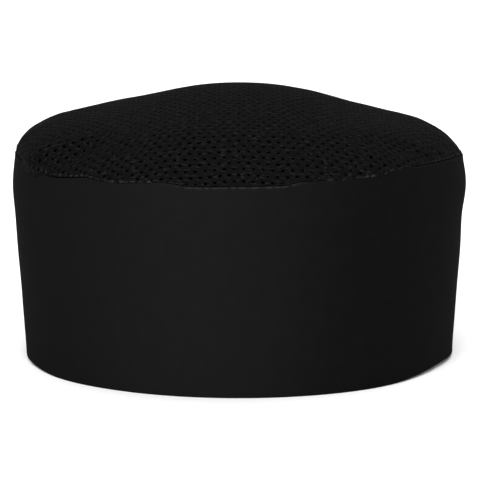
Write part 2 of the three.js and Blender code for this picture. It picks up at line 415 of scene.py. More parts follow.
def spin_section(rows, nominal_reach, turns):
    """A closed tube spun from a section, whose points know their place in the section."""
    shape = bmesh.new()
    station = shape.verts.layers.float.new("station")
    ring = []
    for number, (share, out, up) in enumerate(rows):
        corner = shape.verts.new((nominal_reach + out, 0, share * band_top + up))
        corner[station] = number
        ring.append(corner)
    outline = [shape.edges.new((a, b)) for a, b in zip(ring, ring[1:] + ring[:1])]
    bmesh.ops.spin(
        shape,
        geom=ring + outline,
        axis=(0, 0, 1),
        cent=(0, 0, 0),
        angle=2 * math.pi,
        steps=turns,
        use_merge=True,
    )
    bmesh.ops.remove_doubles(shape, verts=shape.verts, dist=WELD)
    return shape, station


def back_seam(azimuth):
    """The ditch where the band's two ends are sewn together, at the nape."""
    away = np.abs(np.abs(azimuth) - math.pi) * cap_size.y / 2
    ditch = -BACK_SEAM_DEPTH * hump(away, BACK_SEAM_WIDTH)
    ridge = RIDGE_SHARE * BACK_SEAM_DEPTH * hump(away - 3 * BACK_SEAM_WIDTH, RIDGE_WIDTH)
    return ditch + ridge


def around(azimuth, reach, height):
    """Points at azimuths, distances from the axis and heights."""
    return np.stack([reach * np.sin(azimuth), -reach * np.cos(azimuth), height], axis=1)


def place_on_band(azimuth, share, out, up):
    """Points of the band at azimuths, shares of its height and offsets from its face."""
    top = read(crest, azimuth)
    low = (1 - share) ** HEM_FADE
    height = HEM + share * (top - FOLD - HEM) + up + read(hem_up, azimuth) * low
    reach = read(face, azimuth, share) + out + read(hem_out, azimuth) * low
    reach = reach + band_waves(azimuth, height)
    reach = reach + back_seam(azimuth) * (out > -WALL / 2)
    return around(azimuth, reach, height)


def move_onto_band(shape, station, rows):
    """Moves a spun tube's points, and gives their azimuths and stations."""
    corners = list(shape.verts)
    azimuth = np.array([math.atan2(v.co.x, -v.co.y) for v in corners])
    number = np.array([round(v[station]) for v in corners])
    share, out, up = np.array(rows, float)[number].T
    for corner, place in zip(corners, place_on_band(azimuth, share, out, up)):
        corner.co = place
    return azimuth, number


band_shape, station = spin_section(section, cap_size.x / 2, BAND_TURNS)
band_azimuth, band_station = move_onto_band(band_shape, station, section)
bmesh.ops.recalc_face_normals(band_shape, faces=band_shape.faces)

# %% Mark the painted highlight along the pressed top edge
def mark(shape, name, values):
    """Gives every point of a shape a value that its material can read by name."""
    layer = shape.verts.layers.float.new(name)
    for corner, value in zip(shape.verts, values):
        corner[layer] = value


# Painted highlight: the band's pressed top edge is painted paler where light from above catches it,
# and mostly left dark where the mesh's lip hangs over and shades it.
HIGHLIGHT_CENTRE, HIGHLIGHT_SPREAD = 48, 20  # degrees over the fold
HIGHLIGHT_WHERE_COVERED = 0.1  # share that is left where the mesh hangs over the edge
highlight_of_station = np.zeros(len(section))
fold_angles = np.linspace(0, 180, FOLD_ROWS)
fold_stations = np.arange(FOLD_ROWS) + FACE_ROWS - 1
highlight_of_station[fold_stations] = hump(fold_angles - HIGHLIGHT_CENTRE, HIGHLIGHT_SPREAD)
bare_edge = HIGHLIGHT_WHERE_COVERED + (1 - HIGHLIGHT_WHERE_COVERED) * read(set_back, band_azimuth)
mark(band_shape, "painted_highlight", highlight_of_station[band_station] * bare_edge)
print("band:", len(band_shape.verts), "points,", len(band_shape.faces), "faces")

# %% [markdown]
# The band is painted palest a little left of its middle and darkest at its right front: painted
# light and shade for how the front lamp falls off round the band. Two broad patches keep that as a
# mark on the cloth, which the material reads later.

# %% Mark the painted light and shade round the band
PAINTED_LIGHT_BASE = 0.3
PAINTED_LIGHT_PATCHES = [
    # azimuth and spread in degrees, how much paler the painted light makes the cloth
    (-12, 24, 0.32),
    (33, 21, -0.33),
]
band_degrees = np.degrees(band_azimuth)
patches = [paler * hump(band_degrees - at, spread) for at, spread, paler in PAINTED_LIGHT_PATCHES]
nap = PAINTED_LIGHT_BASE + sum(patches)
mark(band_shape, "nap", nap)
print("nap: from", round(nap.min(), 2), "to", round(nap.max(), 2))

# %% [markdown]
# The weave has to run round the band and over its edges, as cut cloth does. So the band gets a UV
# map in metres: the distance round the cap, and the running length along the section. The faces
# that close the tube at the nape are given one full turn more, or the pattern would be squeezed
# into them.

# %% Map the band in metres, and make objects from meshes
def running_length(rows):
    """Length along a section up to each of its points."""
    steps = [
        math.hypot(b[1] - a[1], b[2] - a[2] + (b[0] - a[0]) * band_top)
        for a, b in zip(rows, rows[1:])
    ]
    return np.concatenate([[0], np.cumsum(steps)])


def map_in_metres(shape, azimuth, number, lengths):
    """UVs: distance round the cap and along the section."""
    layer = shape.loops.layers.uv.new("metres")
    round_reach = (cap_size.x + cap_size.y) / 4
    shape.verts.index_update()
    for side in shape.faces:
        turns = [azimuth[v.index] for v in side.verts]
        wraps = max(turns) - min(turns) > math.pi
        closes = {number[v.index] for v in side.verts} >= {0, len(lengths) - 1}
        for loop in side.loops:
            turn = azimuth[loop.vert.index]
            along = lengths[number[loop.vert.index]]
            if wraps and turn < 0:
                turn += 2 * math.pi
            if closes and number[loop.vert.index] == 0:
                along = lengths[-1] + HEM
            loop[layer].uv = (turn * round_reach, along)


def make_object(name, shape):
    mesh = bpy.data.meshes.new(name)
    shape.to_mesh(mesh)
    shape.free()
    piece = bpy.data.objects.new(name, mesh)
    bpy.context.scene.collection.objects.link(piece)
    return piece


def make_piece(name, shape, node):
    """A finished object from a bmesh, riding on the cap and standing for a solid."""
    for side in shape.faces:
        side.smooth = True
    piece = make_object(name, shape)
    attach(piece, "root")
    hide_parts(node)
    triangles = sum(len(side.vertices) - 2 for side in piece.data.polygons)
    print(name, "has", triangles, "triangles")
    return piece


map_in_metres(band_shape, band_azimuth, band_station, running_length(section))
band = make_piece("band_twill", band_shape, "band")

# %% [markdown]
# ## The crown's path
#
# The mesh is one layer that runs from the top of the dome down to the rim, rolls over the band's
# edge and goes down inside, where it is sewn. For each azimuth that is a curve, and distance along
# it is distance along the cloth. With those curves a flat piece of cloth can be laid on the cap:
# a point of the flat disc keeps its azimuth and its distance from the middle. Laying it straight
# down instead would stretch the holes near the rim, where the dome is steep.

# %% Draw the path of the mesh at one azimuth
CLOTH = 0.6 * MM  # one layer of mesh
EDGE_GAP = 0.08 * MM  # between the mesh and the band
INSIDE_RUN = 2.0 * MM  # how far the cloth runs on down inside the band
ROLL_POINTS, DROP_POINTS = 14, 10
SEAT_SHARE = 0.5  # of the set-back, by which the place where the mesh rests moves in
OVERHANG_EXTRA = 1.1 * MM
LEAST_OVERHANG = 0.4 * MM
ROLL_SHARE = 1.35  # how far the roll is pulled down, for an overhang of 1
DEEPEST_ROLL = 2.2 * MM
LIP_PULL = 1.6  # how far a slack lip is pulled down, for a drop of 1
CREST_PULL = 0.9 * MM  # how far the roll is pulled out over the band's edge
DROP_PULL = 0.8 * FOLD


def bezier(start, start_pull, end_pull, end, count):
    """Points of a curve that leaves its start and reaches its end towards two pulls."""
    t = np.linspace(0, 1, count)[:, None]
    return (
        start * (1 - t) ** 3
        + 3 * start_pull * t * (1 - t) ** 2
        + 3 * end_pull * t**2 * (1 - t)
        + end * t**3
    )


def path_at(turn):
    """The cloth's outer surface at one azimuth, as points (reach, height)."""
    over_dome = np.stack([dome_shares * rim[turn], dome[turn]], axis=1)
    rim_point = over_dome[-1]
    fold_centre = face[turn, -1] - FOLD
    seat = fold_centre - SEAT_SHARE * SET_BACK * set_back[turn]
    over_crest = np.array([seat, crest[turn] + EDGE_GAP])
    inside = np.array([fold_centre - FOLD - EDGE_GAP, crest[turn] - FOLD])
    overhang = max(rim_point[0] - face[turn, -1] + OVERHANG_EXTRA, LEAST_OVERHANG)
    down = min(ROLL_SHARE * overhang, DEEPEST_ROLL) + LIP_PULL * slack_down[turn]
    roll_end = over_crest + np.array([CREST_PULL * (1 - set_back[turn]), 0])
    roll = bezier(rim_point, rim_point - np.array([0, down]), roll_end, over_crest, ROLL_POINTS)
    drop_start = over_crest - np.array([DROP_PULL, 0])
    drop_end = inside + np.array([0, DROP_PULL])
    drop = bezier(over_crest, drop_start, drop_end, inside, DROP_POINTS)
    end = inside - np.array([0, INSIDE_RUN])
    return over_dome, roll, drop, end


# %% Trace the paths at every azimuth
PATH_STEPS = 520
PATH_REACH = 1.08  # the paths run on to this many times the cloth's length


def measure(points):
    """Distance along a path up to each of its points."""
    steps = np.linalg.norm(np.diff(points, axis=0), axis=1)
    return np.concatenate([[0], np.cumsum(steps)])


path_reach = np.zeros((TURNS, PATH_STEPS + 1))
path_height = np.zeros((TURNS, PATH_STEPS + 1))
rim_length, cloth_length, path_length = np.zeros(TURNS), np.zeros(TURNS), np.zeros(TURNS)
for turn in range(TURNS):
    over_dome, roll, drop, end = path_at(turn)
    points = np.concatenate([over_dome, roll[1:], drop[1:], [end]])
    run = measure(points)
    rim_length[turn] = run[DOME_RINGS]
    cloth_length[turn] = run[-1]
    path_length[turn] = PATH_REACH * run[-1]
    beyond = points[-1] - np.array([0, path_length[turn] - run[-1]])
    run = np.append(run, path_length[turn])
    points = np.concatenate([points, [beyond]])
    stops = np.linspace(0, path_length[turn], PATH_STEPS + 1)
    path_reach[turn] = np.interp(stops, run, points[:, 0])
    path_height[turn] = np.interp(stops, run, points[:, 1])
shortest, longest = rim_length.min() / MM, rim_length.max() / MM
print("cloth, mm: to the rim", round(shortest, 1), "to", round(longest, 1))

# %% [markdown]
# ## Creases of the crown
#
# Loose mesh doesn't lie like a shell. A short double crease runs up from the seam at the front
# right, a soft ridge crosses the left shoulder above a hollow, and between them the cloth is eased
# into shallow radial waves that die out towards the top. At the back two broad dents keep the
# dome from being too regular. Each crease is a row of a table: two ends on the flat cloth, a width
# and a depth.

# %% Describe the creases on the flat cloth
CREASES = [
    # foot and head (azimuth in degrees, mm up from the rim), half width and height in mm; a
    # negative height is a dent
    ((31.1, -0.8), (29.6, 6), 0.45, -1.3),
    ((32.0, -0.4), (30.5, 5), 0.5, 0.8),
    ((32.9, -0.4), (31.4, 4), 0.45, -1.0),
    ((29.6, -0.5), (27.6, 8), 1.1, 0.3),
    ((38.6, 3.4), (31.6, 4.8), 0.45, -0.8),
    ((36.2, 1.8), (32.4, 2.8), 0.4, -0.6),
    ((37.0, 9.6), (28.6, 9.6), 0.6, -0.6),
    ((-43.0, -1), (-39.0, 8), 1.3, -0.45),
    ((-61.0, -1), (-52.0, 13), 1.8, -0.6),
    ((-62.0, 7), (-50.0, 27), 3.4, 1.8),
    ((-53.0, 4), (-44.0, 20), 4.2, -2.0),
    ((-44.0, 4), (-36.0, 12), 3.5, -0.8),
    ((58.0, -1), (54.0, 9), 1.5, -0.5),
    ((52.0, 8), (40.0, 18), 6.5, -1.2),
    ((76.0, -1), (66.0, 16), 2.4, -0.5),
    ((104.0, -1), (108.0, 12), 1.8, -0.5),
    ((141.0, -1), (137.0, 14), 2.0, -0.6),
    ((171.0, -1), (174.0, 10), 1.5, -0.45),
    ((-157.0, -1), (-151.0, 15), 2.2, -0.6),
    ((-119.0, -1), (-124.0, 11), 1.6, -0.5),
    ((-98.0, -1), (-92.0, 9), 1.5, -0.4),
    ((128.0, 9), (104.0, 40), 10, -0.7),
    ((-118.0, 14), (-146.0, 52), 13, -0.5),
]
# The ridge between the double crease gets a painted highlight, like the mesh's lip.
HIGHLIT_FOLD = CREASES[1]  # the ridge between the double crease
CREASE_POWER = 0.7  # below 1, a crease keeps its height longer on the way to its head
CREASE_HOLD = 0.5 * MM  # below the rim, where the seam holds every crease flat
SHARP_WIDTH = 0.7  # mm; narrower creases need a finer mesh
SHARP_REGION = 1.0 * MM  # how far from their line
EASE = draw_waves(range(17, 46, 4))
EASE_DEPTH = 0.13 * MM
EASE_FADE = 16 * MM  # how far the waves reach up the dome
print("creases:", len(CREASES))


# %% Turn creases and waves into heights
def flat_point(azimuth_degrees, up_from_rim):
    """A point of the flat cloth, from an azimuth and a distance up from the rim in mm."""
    azimuth = math.radians(azimuth_degrees)
    distance = float(read(rim_length, azimuth)) - up_from_rim * MM
    return np.array([distance * math.sin(azimuth), -distance * math.cos(azimuth)])


def beside_crease(flat, foot, head):
    """How far along a crease points of the flat cloth are (0 to 1), and how far beside it."""
    start = flat_point(*foot)
    line = flat_point(*head) - start
    share = np.clip((flat - start) @ line / (line @ line), 0, 1)
    return share, np.linalg.norm(flat - start - share[:, None] * line, axis=1)


def from_sharp_crease(flat):
    """Distance from points of the flat cloth to the nearest sharp crease."""
    sharp = [ends for *ends, half_width, _ in CREASES if half_width < SHARP_WIDTH]
    return np.min([beside_crease(flat, *ends)[1] for ends in sharp], axis=0)


def crease_height(flat, up_from_rim):
    """How far the creases lift or sink points of the flat cloth."""
    lift = np.zeros(len(flat))
    for foot, head, half_width, height in CREASES:
        share, away = beside_crease(flat, foot, head)
        fade = np.cos(share * math.pi / 2) ** CREASE_POWER
        held = 1 - hump(np.maximum(up_from_rim + CREASE_HOLD, 0), half_width * MM)
        lift += height * MM * fade * held * hump(away, half_width * MM)
    return lift


def ease_height(azimuth, up_from_rim):
    """Shallow radial waves where the seam eases the cloth in."""
    fade = np.exp(-np.maximum(up_from_rim, 0) / EASE_FADE)
    return EASE_DEPTH * fade * sum_of_waves(EASE, azimuth)


# %% [markdown]
# ## The eyelet mesh
#
# Athletic mesh is a knit with rows of small round holes, each row shifted by half a pitch. The
# holes are real here: light goes through them, and from inside they show as dots of daylight.
#
# A boolean with some 2,600 cylinders would be slow and messy. Instead, a grid is sheared row by
# row until its corners lie where the holes belong, and is cut into triangles. Bevelling a corner
# where six triangles meet replaces it with a hexagon; deleting that hexagon makes the hole, and
# one more cut in each of its edges, pushed out to the hole's radius, makes it round.

# %% Make a sheet with a corner wherever a hole belongs
PITCH = 4.0 * MM
ROW = 3.4 * MM
EYELET = 0.74 * MM  # radius of a hole
EYELET_SIZES = np.random.default_rng(5).uniform(0.84, 1.14, (128, 128))  # no two are quite alike


def lattice_point(flat):
    """The nearest hole's centre for each point of the flat cloth."""
    row = np.round(flat[:, 1] / ROW)
    shift = np.mod(row, 2) / 2
    column = np.round(flat[:, 0] / PITCH - shift)
    return np.stack([(column + shift) * PITCH, row * ROW], axis=1)


def flat_places(shape):
    """Where a flat sheet's corners are: as points, azimuths and distances from the middle."""
    flat = np.array([v.co.xy for v in shape.verts])
    return flat, np.arctan2(flat[:, 0], -flat[:, 1]), np.linalg.norm(flat, axis=1)


def lattice():
    """A sheet of triangles, sheared so that its corners are the holes' centres."""
    sheet = bmesh.new()
    half = 2 * math.ceil(max(cloth_length) / ROW / 2) + 2
    bmesh.ops.create_grid(sheet, x_segments=2 * half, y_segments=2 * half, size=half)
    for corner in sheet.verts:
        row = round(corner.co.y)
        corner.co.x = (round(corner.co.x) + (row % 2) / 2) * PITCH
        corner.co.y = row * ROW
    bmesh.ops.triangulate(sheet, faces=sheet.faces, quad_method="SHORT_EDGE")
    return sheet


# %% Pierce the sheet
EYELET_SIDES = 6  # before each of them is cut once more
NEAR_CENTRE = 0.3 * EYELET
NEAR_RIM = 1.3 * EYELET  # no corner but those of a hole's rim is so near its centre


def on_hole(side):
    """Whether a face lies on a hole's centre and not between three holes."""
    middle = np.array([side.calc_center_median().xy])
    return np.linalg.norm(middle - lattice_point(middle)) < NEAR_CENTRE


def pierce(sheet):
    """Cuts a round hole at every corner of the lattice that has triangles all round it."""
    _, azimuth, distance = flat_places(sheet)
    on_cloth = distance < read(cloth_length, azimuth)
    holes = [
        corner
        for corner, is_on in zip(sheet.verts, on_cloth)
        if is_on and len(corner.link_edges) == EYELET_SIDES
    ]
    cut = bmesh.ops.bevel(
        sheet,
        geom=holes,
        offset=EYELET,
        offset_type="OFFSET",
        segments=1,
        profile=0.5,
        affect="VERTICES",
        material=-1,
    )
    gone = [side for side in cut["faces"] if len(side.verts) == EYELET_SIDES and on_hole(side)]
    rims = {edge for side in gone for edge in side.edges}
    bmesh.ops.delete(sheet, geom=gone, context="FACES_ONLY")
    bmesh.ops.subdivide_edges(sheet, edges=list(rims), cuts=1)
    flat, _, _ = flat_places(sheet)
    centre = lattice_point(flat)
    away = flat - centre
    apart = np.linalg.norm(away, axis=1)
    row = np.round(centre[:, 1] / ROW).astype(int)
    column = np.floor(centre[:, 0] / PITCH).astype(int)
    radii = EYELET * EYELET_SIZES[row, column]
    for corner, middle, arm, length, radius in zip(sheet.verts, centre, away, apart, radii):
        if 0 < length < NEAR_RIM:
            corner.co.xy = middle + arm / length * radius
    return len(gone)


mesh_sheet = lattice()
hole_count = pierce(mesh_sheet)
print("eyelets:", hole_count)

# %% [markdown]
# The holes are a few millimetres apart, and so are the corners of the sheet. That is fine on the
# dome, but the roll over the band's edge bends within a millimetre, and so do the sharp creases.
# There the long edges are halved until none is too long, before the sheet is laid on the cap.
# Cutting the whole sheet as fine would make ten times as many triangles for nothing.

# %% Trim the flat mesh and cut it finer where it bends
FINE_ABOVE_RIM = 1.8 * MM
FINE_EDGE = 1.35 * MM
CREASE_EDGE = 0.5 * MM


def is_torn(corner):
    """Whether a corner carries no face, or is all that ties two of the sheet's parts together."""
    return not corner.link_faces or sum(edge.is_boundary for edge in corner.link_edges) > 2


def trim(sheet):
    """Cuts off what lies beyond the cloth's edge, and the shreds that this leaves."""
    _, azimuth, distance = flat_places(sheet)
    beyond = distance > read(cloth_length, azimuth)
    gone = [corner for corner, is_beyond in zip(sheet.verts, beyond) if is_beyond]
    while gone:
        bmesh.ops.delete(sheet, geom=gone, context="VERTS")
        bare = [edge for edge in sheet.edges if not edge.link_faces]
        bmesh.ops.delete(sheet, geom=bare, context="EDGES")
        gone = [corner for corner in sheet.verts if is_torn(corner)]


def refine(sheet, is_inside, longest):
    """Halves the edges in a region until none there is longer than allowed."""
    while True:
        sheet.verts.index_update()
        flat, azimuth, distance = flat_places(sheet)
        inside = is_inside(flat, azimuth, distance)
        edges = [
            edge
            for edge in sheet.edges
            if all(inside[end.index] for end in edge.verts) and edge.calc_length() > longest
        ]
        if not edges:
            return
        bmesh.ops.subdivide_edges(sheet, edges=edges, cuts=1)
        bmesh.ops.triangulate(sheet, faces=sheet.faces)


def near_rim_strip(flat, azimuth, distance):
    return distance > read(rim_length, azimuth) - FINE_ABOVE_RIM


def near_sharp_crease(flat, azimuth, distance):
    return from_sharp_crease(flat) < SHARP_REGION


bmesh.ops.triangulate(mesh_sheet, faces=mesh_sheet.faces)
trim(mesh_sheet)
refine(mesh_sheet, near_rim_strip, FINE_EDGE)
refine(mesh_sheet, near_sharp_crease, CREASE_EDGE)
print("flat mesh:", len(mesh_sheet.faces), "triangles")

# %% Work out where points of the flat mesh come to lie on the cap
EASE_START, EASE_RISE = 1.5 * MM, 2 * MM  # the waves start this far below the rim, and grow
PULL_FADE = 4 * MM  # how far the gathers of the seam reach up the mesh
TINY = 1e-9


def slope(field, azimuth, place):
    """Change of a path field for a small step along it."""
    step = 2 / PATH_STEPS
    return read(field, azimuth, place + step) - read(field, azimuth, place - step)


def lay_on_cap(flat, azimuth, distance):
    """Places on the cap of points of the flat cloth, with the creases and waves they carry."""
    place = distance / read(path_length, azimuth)
    reach = read(path_reach, azimuth, place)
    height = read(path_height, azimuth, place)
    along = np.stack([slope(path_reach, azimuth, place), slope(path_height, azimuth, place)])
    along /= np.maximum(np.linalg.norm(along, axis=0), TINY)
    up_from_rim = read(rim_length, azimuth) - distance
    eased = np.clip((up_from_rim + EASE_START) / EASE_RISE, 0, 1)
    lift = crease_height(flat, up_from_rim) + eased * ease_height(azimuth, up_from_rim)
    pull = np.exp(-np.maximum(up_from_rim, 0) / PULL_FADE)
    reach = reach - along[1] * lift + seam_gather(azimuth) * pull
    return around(azimuth, reach, height + along[0] * lift)


# %% Mark where the mesh gets a painted highlight: along its lip and on a fold
# Painted highlight: a pale line along the lip's lit top and on the ridge of the double crease,
# where light from above catches the mesh.
HIGHLIGHT_LIP = -0.3 * MM  # the palest line of the mesh's lip, up from its outermost edge
FOLD_LESS_HIGHLIGHT = 0.3 * MM  # a fold is as pale as the lip is this far beside its palest line
LIP_HIGHLIGHT_SHARES = [
    # azimuth in degrees, how strong the painted highlight on the lip is there
    (-180, 0.4), (-95, 0.3), (-62, 0.1), (-52, 0.8), (-40, 1), (-18, 0.8), (-14, 0.3), (14, 0.3),
    (17, 0.7), (47, 0.7), (56, 0.6), (70, 0.5), (90, 0.3), (180, 0.4),
]
flat, azimuth, distance = flat_places(mesh_sheet)
up_from_rim = read(rim_length, azimuth) - distance
highlight_at, highlight_share = np.array(LIP_HIGHLIGHT_SHARES).T
highlight_by_azimuth = np.interp(np.degrees(azimuth), highlight_at, highlight_share)
beside_lip = np.abs(up_from_rim - HIGHLIGHT_LIP)
beside_fold = beside_crease(flat, *HIGHLIT_FOLD[:2])[1] + FOLD_LESS_HIGHLIGHT
mark(mesh_sheet, "painted_highlight", highlight_by_azimuth)
mark(mesh_sheet, "from_highlight_line", np.minimum(beside_lip, beside_fold))

# %% Map the flat mesh in metres, and lay it on the cap
uv_layer = mesh_sheet.loops.layers.uv.new("metres")
for side in mesh_sheet.faces:
    for loop in side.loops:
        loop[uv_layer].uv = loop.vert.co.xy
for corner, place in zip(mesh_sheet.verts, lay_on_cap(flat, azimuth, distance)):
    corner.co = place
bmesh.ops.recalc_face_normals(mesh_sheet, faces=mesh_sheet.faces)
top_face = max(mesh_sheet.faces, key=lambda side: side.calc_center_median().z)
if top_face.normal.z < 0:
    bmesh.ops.reverse_faces(mesh_sheet, faces=mesh_sheet.faces)
crown = make_piece("crown_eyelet_mesh", mesh_sheet, "crown_mesh")
thickness = crown.modifiers.new("thickness of the mesh", "SOLIDIFY")
thickness.thickness = CLOTH
thickness.offset = -1

# %% [markdown]
# ## Inside the seam
#
# Turned over, the cap shows how it was made: the crown's edge lies against the band's turned-in
# edge, a lockstitch holds both, and an overlock thread zigzags over the raw edges so that they
# don't fray. The edge is spun like the band. Both threads are spun too, as plain rings: one is
# then bent up and down, the other in and out. A curve with bevel would do, but the spin keeps the
# mesh small and closed.

# %% Spin the crown's edge inside the band
MARGIN_CLOTH = 0.9 * MM
MARGIN_GAP = 0.25 * MM
MARGIN_TOP = 1.6 * MM  # below the fold's centre
MARGIN_SHORTER = 0.4 * MM  # than the band's turned-in edge, so that both edges show
MARGIN_ROWS_DOWN = 5
margin_face = -2 * FOLD - MARGIN_GAP - CLOTH - EDGE_GAP
margin_bottom = -MARGIN_DEPTH + FOLD + MARGIN_SHORTER
margin_levels = np.linspace(margin_bottom, -MARGIN_TOP, MARGIN_ROWS_DOWN)
margin_section = [(1, margin_face, up) for up in margin_levels]
margin_section += [(1, margin_face - MARGIN_CLOTH, up) for up in margin_levels[::-1]]
margin_shape, station = spin_section(margin_section, cap_size.x / 2, BAND_TURNS)
margin_azimuth, margin_station = move_onto_band(margin_shape, station, margin_section)
bmesh.ops.recalc_face_normals(margin_shape, faces=margin_shape.faces)
map_in_metres(margin_shape, margin_azimuth, margin_station, running_length(margin_section))
margin = make_piece("crown_margin", margin_shape, "crown_mesh")

# %% Spin the threads of the seam
THREAD_RADIUS = 0.22 * MM
THREAD_SIDES = 6
OVERLOCK_COUNT = 170
OVERLOCK_STEPS = 6  # per zigzag
OVERLOCK_REACH = 3.2 * MM
LOCKSTITCH_COUNT = 200
LOCKSTITCH_STEPS = 6  # per stitch
LOCKSTITCH_BELOW = 0.7 * MM  # the top of the crown's edge
LOCKSTITCH_SINK = 0.3 * MM  # where the thread goes into the cloth
SUNK_ABOVE = 0.55  # of the sine that counts the stitches


def thread_section(out, up):
    turns = np.arange(THREAD_SIDES) * 2 * math.pi / THREAD_SIDES
    return [(1, out + THREAD_RADIUS * math.cos(t), up + THREAD_RADIUS * math.sin(t)) for t in turns]


def spin_thread(name, out, up, steps, wave_out, wave_up):
    """A ring of thread inside the band, moved out and up by two functions of the azimuth."""
    rows = thread_section(out, up)
    shape, station = spin_section(rows, cap_size.x / 2, steps)
    azimuth, number = move_onto_band(shape, station, rows)
    for corner, turn in zip(shape.verts, azimuth):
        corner.co += sideways(turn) * wave_out(turn) + Vector((0, 0, wave_up(turn)))
    bmesh.ops.recalc_face_normals(shape, faces=shape.faces)
    map_in_metres(shape, azimuth, number, running_length(rows))
    return make_piece(name, shape, "crown_mesh")


def zigzag(turn):
    return OVERLOCK_REACH / 2 * (2 / math.pi) * math.asin(math.sin(OVERLOCK_COUNT * turn))


def stitch_sink(turn):
    return LOCKSTITCH_SINK * (math.sin(LOCKSTITCH_COUNT * turn) > SUNK_ABOVE)


def unmoved(turn):
    return 0


inner_face = margin_face - MARGIN_CLOTH
overlock_middle = margin_levels[0] + OVERLOCK_REACH / 2 - THREAD_RADIUS
overlock = spin_thread(
    "overlock_thread",
    inner_face - THREAD_RADIUS,
    overlock_middle,
    OVERLOCK_COUNT * OVERLOCK_STEPS,
    unmoved,
    zigzag,
)
lockstitch = spin_thread(
    "lockstitch_thread",
    inner_face - THREAD_RADIUS / 2,
    -MARGIN_TOP - LOCKSTITCH_BELOW,
    LOCKSTITCH_COUNT * LOCKSTITCH_STEPS,
    stitch_sink,
    unmoved,
)

# %% [markdown]
# ## Materials
#
# Both cloths are dyed black, and black cloth is mostly about what isn't colour: how rough it is,
# how much it gleams at a flat angle, and how fine the threads are. One helper turns the hex colour
# that a designer would write into the linear light that the renderer works in, and one adds a node
# with its settings and links.

# %% Helpers for colours and nodes
def linear(hex_colour):
    """An sRGB hex colour as linear RGBA."""
    channels = [int(hex_colour[n : n + 2], 16) / 255 for n in (1, 3, 5)]
    return [c / 12.92 if c <= 0.04045 else ((c + 0.055) / 1.055) ** 2.4 for c in channels] + [1]


def add_node(material, kind, inputs=None, **settings):
    """Adds a shader node. An input is a value, or a socket to link from."""
    tree = material.node_tree
    node = tree.nodes.new("ShaderNode" + kind)
    for name, value in settings.items():
        setattr(node, name, value)
    for name, value in (inputs or {}).items():
        socket = node.inputs[name]
        if isinstance(value, bpy.types.NodeSocket):
            tree.links.new(value, socket)
        else:
            socket.default_value = value
    return node


def new_material(name):
    """A material without nodes."""
    material = bpy.data.materials.new(name)
    material.use_nodes = True
    material.node_tree.nodes.clear()
    return material


def finish_material(material, inputs):
    """Adds the shader that all the other nodes lead to, and its output."""
    shader = add_node(material, "BsdfPrincipled", inputs)
    add_node(material, "OutputMaterial", {"Surface": shader.outputs[0]})
    return material


# %% Paint a highlight into a tone where the cloth is marked for it
HIGHLIGHT_PATCH = 2.6 * MM  # size of the patches in which the painted highlight comes and goes


def with_painted_highlight(material, metres, tone, highlight_colour, marked):
    """A tone with a painted highlight, patch by patch, where the cloth is marked for it."""
    patches = add_node(
        material, "TexNoise", {"Vector": metres, "Scale": 1 / HIGHLIGHT_PATCH, "Detail": 3.0}
    )
    share = add_node(
        material, "MapRange", {"Value": patches.outputs["Fac"], "From Min": 0.4, "From Max": 0.56}
    )
    amount = add_node(
        material, "Math", {0: share.outputs["Result"], 1: marked}, operation="MULTIPLY"
    )
    mixed = add_node(
        material,
        "Mix",
        {"Factor": amount.outputs[0], "A": tone, "B": linear(highlight_colour)},
        data_type="RGBA",
    )
    return mixed.outputs["Result"]


# %% [markdown]
# ### Twill of the band
#
# Poly-cotton twill, piece-dyed black and pressed. Its threads lie about half a millimetre apart
# and step sideways in every row, which makes a fine diagonal. It is matt, with a faint gleam at
# flat angles from fibre ends. Slow changes in how dense the dye is keep a large black wall from
# looking like plastic. On top of that the tone carries painted light and shade round the band, and
# a painted highlight along its pressed top edge.

# %% Make the twill
THREAD = 0.55 * MM
DRAWN_COARSER = 1.5  # times the threads' distance, or the diagonal wouldn't show
DIAGONAL_PERIOD = 2 * math.pi / 10  # of the wave texture's diagonal bands at scale 1
SLUB = 6 * MM  # length of the thicker places in a thread
FUZZ = 0.9 * MM  # size of the tufts of the nap
SLUB_SHARE = 0.4  # how much slubs change the tone, beside the painted light


def make_twill():
    material = new_material("black_polycotton_twill")
    metres = add_node(material, "UVMap", uv_map="metres").outputs[0]
    diagonal = add_node(
        material,
        "TexWave",
        {
            "Vector": metres,
            "Scale": DIAGONAL_PERIOD / THREAD / DRAWN_COARSER,
            "Distortion": 0.6,
            "Detail": 2.0,
            "Detail Scale": 2.0,
        },
        wave_type="BANDS",
        bands_direction="DIAGONAL",
    )
    slubs = add_node(material, "TexNoise", {"Vector": metres, "Scale": 1 / SLUB, "Detail": 5.0})
    fuzz = add_node(material, "TexNoise", {"Vector": metres, "Scale": 1 / FUZZ, "Detail": 3.0})
    # Painted light and shade: the band's mark of how the front light falls round it, added to the
    # slubs' real tone changes.
    lie = add_node(material, "Attribute", attribute_name="nap")
    slubs_and_painted_light = add_node(
        material,
        "Math",
        {0: slubs.outputs["Fac"], 1: SLUB_SHARE, 2: lie.outputs["Fac"]},
        operation="MULTIPLY_ADD",
    )
    tone = add_node(
        material,
        "Mix",
        {"Factor": slubs_and_painted_light.outputs[0], "A": linear("#0b0b0b"), "B": linear("#151515")},
        data_type="RGBA",
    )
    # Painted highlight along the band's pressed top edge, in #292929.
    painted_highlight = add_node(material, "Attribute", attribute_name="painted_highlight").outputs["Fac"]
    highlighted_tone = with_painted_highlight(material, metres, tone.outputs["Result"], "#292929", painted_highlight)
    threads = add_node(
        material, "Math", {0: diagonal.outputs["Fac"], 1: fuzz.outputs["Fac"]}, operation="ADD"
    )
    bump = add_node(
        material, "Bump", {"Strength": 0.5, "Distance": 0.08 * MM, "Height": threads.outputs[0]}
    )
    look = {"Base Color": highlighted_tone, "Normal": bump.outputs[0], "Roughness": 0.9, "IOR": 1.05}
    return finish_material(material, look)


band.data.materials.append(make_twill())

